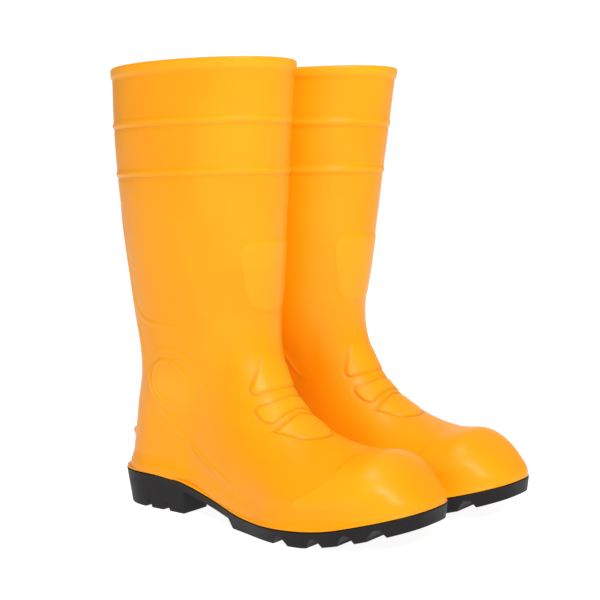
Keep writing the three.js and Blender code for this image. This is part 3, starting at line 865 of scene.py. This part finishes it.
class Look:
    # one material and its shader
    def __init__(self, name, **fixed):
        self.material = bpy.data.materials.new(name)
        self.material.use_nodes = True
        self.tree = self.material.node_tree
        self.tree.nodes.clear()
        self.shader = self.tree.nodes.new("ShaderNodeBsdfPrincipled")
        output = self.tree.nodes.new("ShaderNodeOutputMaterial")
        self.tree.links.new(self.shader.outputs[0], output.inputs[0])
        for key, value in fixed.items():
            self.shader.inputs[key.replace("_", " ")].default_value = value

    def node(self, kind, settings=None, sockets=None, out=0):
        made = self.tree.nodes.new(kind)
        for key, value in (settings or {}).items():
            if key == "stops":
                ramp = made.color_ramp.elements
                while len(ramp) < len(value):
                    ramp.new(0.5)
                for stop, (place, colour) in zip(ramp, value):
                    stop.position, stop.color = place, colour
            else:
                setattr(made, key, value)
        for key, value in (sockets or {}).items():
            self.feed(made.inputs[key], value)
        return Wire(self, made.outputs[out])

    def feed(self, target, value):
        if isinstance(value, Wire):
            self.tree.links.new(value.socket, target)
        else:
            target.default_value = value

    def set(self, **values):
        for key, value in values.items():
            self.feed(self.shader.inputs[key.replace("_", " ")], value)

    def place(self):
        return self.node("ShaderNodeTexCoord", out="Object")

    def stretched(self, scale):
        return self.node("ShaderNodeMapping", None, {"Vector": self.place(), "Scale": scale})

    def noise(self, scale, detail=3, rough=0.5, at=None):
        values = {"Vector": at or self.place(), "Scale": scale, "Detail": detail, "Roughness": rough}
        return self.node("ShaderNodeTexNoise", None, values)

    def spread(self, value, low, high, toLow=0, toHigh=1):
        values = {"Value": value, "From Min": low, "From Max": high, "To Min": toLow, "To Max": toHigh}
        return self.node("ShaderNodeMapRange", None, values)

    def mix(self, mask, first, second):
        return self.node("ShaderNodeMix", {"data_type": "RGBA"}, {0: mask, 6: first, 7: second}, 2)

    def bump(self, height, distance, strength=1.0, under=None):
        values = {"Height": height, "Distance": distance, "Strength": strength}
        if under:
            values["Normal"] = under
        return self.node("ShaderNodeBump", None, values)

    def attribute(self, name):
        return self.node("ShaderNodeAttribute", {"attribute_name": name}, None, "Fac")


def mouldedPvc():
    # semi-gloss orange-yellow skin: faint flow marks, orange peel, a painted highlight on the ridges and
    # painted shade in the grooves
    # the groove tone is painted shade for the grooves; the light tone is a painted highlight on the ridges
    # and also gives random flecks
    tone = {
        "groove": (0.6, 0.22, 0.001, 1), "deep": (0.94, 0.325, 0.001, 1),
        "main": (0.98, 0.37, 0.002, 1), "light": (1, 0.44, 0.012, 1),
    }
    look = Look("moulded yellow pvc", IOR=1.5, Specular_IOR_Level=0.18, Coat_Roughness=0.22)
    cloud = look.noise(14, 2, 0.55)
    flow = look.noise(6, 4, 0.6, look.stretched((1, 1, 0.22)))
    body = look.mix(look.spread(cloud * 0.6 + flow * 0.4, 0.36, 0.66), tone["deep"], tone["main"])
    # the ridges are painted lighter towards the light tone: a painted highlight; the flecks add random
    # lighter tone
    ridge_highlight = look.spread(look.attribute("proud"), 0.3, 1.1, 0, 0.4)
    # the grooves are painted darker with the groove tone: painted shade
    groove_shade = look.spread(look.attribute("proud"), -0.5, -0.08, 0.6, 0)
    fleck = look.spread(look.noise(900, 1), 0.64, 0.78, 0, 0.06)
    skin = look.mix(ridge_highlight + fleck, body, tone["light"])
    look.set(Base_Color=look.mix(groove_shade, skin, tone["groove"]))
    look.set(Roughness=look.spread(look.noise(55, 4, 0.6), 0.3, 0.75, 0.36, 0.46))
    look.set(Coat_Weight=look.spread(cloud, 0.3, 0.7, 0.03, 0.08))
    wave = look.bump(look.noise(32, 2, 0.4), 0.0011, 0.12)
    look.set(Normal=look.bump(look.noise(1500, 2, 0.5), 0.00006, 0.35, wave))
    return look.material


def soleRubber():
    # matt black rubber with a fine grain, duller and dustier under the tread
    tone = {
        "dark": (0.008, 0.0068, 0.0072, 1), "light": (0.015, 0.013, 0.0137, 1),
        "dust": (0.07, 0.066, 0.063, 1),
    }
    look = Look("black sole rubber", IOR=1.5, Specular_IOR_Level=0.16)
    height = look.node("ShaderNodeSeparateXYZ", None, {0: look.place()}, 2)
    tread = look.spread(height + look.noise(160, 3) * 0.0016, 0.0009, 0.003, 1, 0)
    grain = look.spread(look.noise(70, 5, 0.65), 0.3, 0.7)
    black = look.mix(grain, tone["dark"], tone["light"])
    look.set(Base_Color=look.mix(tread * 0.35, black, tone["dust"]))
    look.set(Roughness=look.spread(grain + tread, 0, 2, 0.46, 0.74))
    wave = look.bump(look.noise(90, 3), 0.0006, 0.15)
    look.set(Normal=look.bump(look.noise(1300, 3, 0.6), 0.00012, 0.5, wave))
    return look.material


def knitLining():
    # off-white knit: columns of loops running up the leg
    tone = {"gap": (0.5, 0.46, 0.38, 1), "wool": (0.86, 0.82, 0.73, 1), "worn": (0.72, 0.67, 0.58, 1)}
    look = Look("knit lining", Sheen_Weight=0.35, Sheen_Roughness=0.6)
    place = look.place()
    bent = look.noise(130, 2)
    ribs = look.node("ShaderNodeTexWave", {"bands_direction": "DIAGONAL"}, {
        "Vector": look.stretched((1, 1, 0.02)), "Scale": 240, "Distortion": 0.6, "Detail Scale": 3}, "Fac")
    rows = look.node("ShaderNodeTexWave", {"bands_direction": "Z"}, {
        "Vector": place, "Scale": 260, "Distortion": 1.4, "Detail Scale": 4}, "Fac")
    loops = ribs * (0.55 + rows * 0.45)
    wool = look.mix(look.spread(loops, 0.1, 0.9), tone["gap"], tone["wool"])
    look.set(Base_Color=look.mix(look.spread(bent, 0.35, 0.7, 0, 0.3), wool, tone["worn"]))
    look.set(Roughness=look.spread(bent, 0.3, 0.7, 0.82, 0.96))
    look.set(Normal=look.bump(loops, 0.0006, 0.7))
    return look.material


def insoleFelt():
    tone = {"dark": (0.17, 0.17, 0.17, 1), "light": (0.42, 0.41, 0.4, 1), "patch": (0.3, 0.29, 0.28, 1)}
    look = Look("grey insole felt", Sheen_Weight=0.4, Sheen_Roughness=0.5)
    fibres = look.noise(420, 6, 0.75, look.stretched((1, 0.25, 1)))
    patches = look.noise(40, 3)
    felt = look.mix(look.spread(fibres, 0.3, 0.7), tone["dark"], tone["light"])
    look.set(Base_Color=look.mix(look.spread(patches, 0.4, 0.7, 0, 0.35), felt, tone["patch"]))
    look.set(Roughness=look.spread(fibres, 0.3, 0.7, 0.86, 0.98))
    look.set(Normal=look.bump(fibres, 0.0005, 0.6))
    return look.material


def cellular(name, scale, full, tone, rough, depth, strength):
    # open or closed cells, painted darker in their hollows as painted shade, and rougher there
    look = Look(name)
    settings = {"Vector": look.place(), "Scale": scale}
    cells = look.node("ShaderNodeTexVoronoi", {"feature": "F1"}, settings, "Distance")
    # the first, darker tone falls in the cell hollows: painted shade
    look.set(Base_Color=look.mix(look.spread(cells, 0, full), *tone))
    look.set(Roughness=look.spread(cells, 0, full, *rough))
    look.set(Normal=look.bump(cells, depth, strength))
    return look.material


def insoleFoam():
    tone = [(0.02, 0.022, 0.028, 1), (0.1, 0.11, 0.13, 1)]
    return cellular("open-cell foam", 900, 0.6, tone, (0.95, 0.8), 0.0004, 0.7)


def foamedPlug():
    tone = [(0.1, 0.1, 0.105, 1), (0.26, 0.255, 0.25, 1)]
    return cellular("foamed heel plug", 450, 0.5, tone, (0.9, 0.75), 0.0004, 0.5)


def lacqueredSteel():
    tone = {"lacquer": (0.045, 0.05, 0.055, 1), "bare": (0.3, 0.31, 0.32, 1)}
    look = Look("lacquered toe-cap steel", Coat_Roughness=0.2)
    blotch = look.noise(60, 4, 0.6)
    scuff = look.spread(look.noise(500, 5, 0.7), 0.6, 0.72)
    look.set(Base_Color=look.mix(scuff, tone["lacquer"], tone["bare"]))
    look.set(Metallic=look.spread(scuff, 0, 1, 0.2, 0.9))
    look.set(Coat_Weight=look.spread(blotch, 0.3, 0.7, 0.3, 0.7))
    look.set(Roughness=look.spread(blotch, 0.3, 0.7, 0.3, 0.5), Normal=look.bump(blotch, 0.0003, 0.3))
    return look.material


def sheetSteel():
    tone = {"dark": (0.42, 0.43, 0.44, 1), "light": (0.66, 0.67, 0.68, 1)}
    look = Look("rolled midsole steel", Metallic=1.0)
    lines = look.noise(900, 4, 0.6, look.stretched((1, 0.03, 1)))
    look.set(Base_Color=look.mix(look.spread(lines, 0.3, 0.7), tone["dark"], tone["light"]))
    look.set(Roughness=look.spread(lines, 0.3, 0.7, 0.24, 0.42), Normal=look.bump(lines, 0.0001, 0.3))
    return look.material


def softStrip():
    tone = {"dark": (0.03, 0.03, 0.03, 1), "light": (0.08, 0.08, 0.08, 1)}
    look = Look("soft edge strip", Specular_IOR_Level=0.4)
    grain = look.noise(700, 4, 0.6)
    look.set(Base_Color=look.mix(grain, tone["dark"], tone["light"]))
    look.set(Roughness=look.spread(grain, 0.3, 0.7, 0.65, 0.85), Normal=look.bump(grain, 0.0002, 0.4))
    return look.material


def paint(piece, material):
    piece.data.materials.clear()
    piece.data.materials.append(material)


print("painting")
pvc, rubber, knit, felt, foam = mouldedPvc(), soleRubber(), knitLining(), insoleFelt(), insoleFoam()
inner = {
    "toe_cap": lacqueredSteel(), "toe_cap_strip": softStrip(),
    "steel_midsole": sheetSteel(), "heel_filler": foamedPlug(),
}
parts = [
    (uppers, pvc, "upper_rubber", "upper", "boot"),
    (linings, knit, "lining_knit", "lining", "boot"),
    (outsoles, rubber, "sole_rubber", "outsole", "boot"),
    (foams, foam, "insole_foam", "insole_foam", "insole"),
    (covers, felt, "insole_felt", "insole_cover", "insole"),
]
for pieces, material, slot, node, body in parts:
    for side, piece in pieces.items():
        paint(piece, material)
        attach(piece, f"{side}_{body}")
        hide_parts(f"{side}_{node}")
for side in sides:
    for node, material in inner.items():
        paint(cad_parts[f"{side}_{node}"], material)


view = {
    "azimuth": -52.63, "distance": 1.0177, "height": 0.2712, "down": 5.43, "aside": 0.767,
    "roll": 1.158, "lens": 73.54,
}
studio = {
    "rings": [0.6, 1.4, 3, 6, 9], "steps": 64, "white": 0.4, "glow": 0.93,
    "backdrop": 1.03, "around": 0.3, "spread": (0.82, 0.92),
}
lamps = {
    "key": {"place": (-1.04, -1.31, 1.35), "size": 0.7, "power": 25},
    "top": {"place": (-0.3, -0.3, 2.1), "size": 0.8, "power": 15},
}
lampAim = (0, 0, 0.2)


def makeFloor():
    # a disc in rings about the origin
    steps, ringCount = studio["steps"], len(studio["rings"])
    vertices = [(0, 0, 0)]
    for radius in studio["rings"]:
        turn = [2 * math.pi * k / steps for k in range(steps)]
        vertices += [(radius * math.cos(a), radius * math.sin(a), 0) for a in turn]
    faces = [(0, 1 + k, 1 + (k + 1) % steps) for k in range(steps)]
    for near in range(1, 1 + (ringCount - 1) * steps, steps):
        far = near + steps
        for k in range(steps):
            after = (k + 1) % steps
            faces.append((near + k, far + k, far + after, near + after))
    mesh = bpy.data.meshes.new("floor")
    mesh.from_pydata(vertices, [], faces)
    floor = bpy.data.objects.new("floor", mesh)
    bpy.context.scene.collection.objects.link(floor)
    look = Look("pale floor", Emission_Color=(1, 1, 1, 1), Emission_Strength=studio["glow"])
    grain = look.noise(3, 3)
    white = studio["white"]
    bright = 1.02 * white
    look.set(Base_Color=look.mix(grain, (white, white, white, 1), (bright, bright, bright, 1)))
    look.set(Roughness=look.spread(grain, 0, 1, 0.7, 0.8))
    paint(floor, look.material)


def makeWorld():
    # bright behind the boots, dimmer all round
    world = bpy.data.worlds.new("studio")
    world.use_nodes = True
    nodes, links = world.node_tree.nodes, world.node_tree.links
    kinds = ("TexCoord", "VectorMath", "MapRange")
    place, towards, fade = (nodes.new("ShaderNode" + kind) for kind in kinds)
    turn = math.radians(view["azimuth"])
    towards.operation = "DOT_PRODUCT"
    towards.inputs[1].default_value = (-math.sin(turn), math.cos(turn), 0)
    links.new(place.outputs["Generated"], towards.inputs[0])
    links.new(towards.outputs["Value"], fade.inputs["Value"])
    ends = {"From Min": studio["spread"][0], "From Max": studio["spread"][1],
            "To Min": studio["around"], "To Max": studio["backdrop"]}
    for key, value in ends.items():
        fade.inputs[key].default_value = value
    links.new(fade.outputs[0], nodes["Background"].inputs["Strength"])
    nodes["Background"].inputs["Color"].default_value = (1, 1, 1, 1)
    bpy.context.scene.world = world
    bpy.context.scene.view_settings.view_transform = "Standard"


def addLight(name, place, size, power):
    light = bpy.data.lights.new(name, "AREA")
    light.shape, light.size, light.size_y = "RECTANGLE", size, size
    light.energy = power
    lamp = bpy.data.objects.new(name, light)
    lamp.location = place
    lamp.rotation_euler = (Vector(lampAim) - Vector(place)).to_track_quat("-Z", "Y").to_euler()
    bpy.context.scene.collection.objects.link(lamp)


def swing(first, second, angle):
    # two directions at right angles, turned in their own plane
    c, s = math.cos(angle), math.sin(angle)
    return first * c - second * s, second * c + first * s


def makeCamera():
    turn, dip, aside, roll = (math.radians(view[k]) for k in ("azimuth", "down", "aside", "roll"))
    level = Vector((-math.sin(turn), math.cos(turn), 0))
    right = Vector((math.cos(turn), math.sin(turn), 0))
    ahead = level * math.cos(dip) - Vector((0, 0, math.sin(dip)))
    up = right.cross(ahead)
    ahead, right = swing(ahead, right, aside)
    right, up = swing(right, up, roll)
    camera = bpy.data.cameras.new("camera")
    camera.lens, camera.sensor_width = view["lens"], 36
    camera.clip_start, camera.clip_end = 0.05, 50
    holder = bpy.data.objects.new("camera", camera)
    place = level * -view["distance"] + Vector((0, 0, view["height"]))
    turned = Matrix((right, up, -ahead)).transposed().to_4x4()
    holder.matrix_world = Matrix.Translation(place) @ turned
    bpy.context.scene.collection.objects.link(holder)
    bpy.context.scene.camera = holder


print("setting the stage")
makeFloor()
makeWorld()
for name, lamp in lamps.items():
    addLight(name, **lamp)
makeCamera()
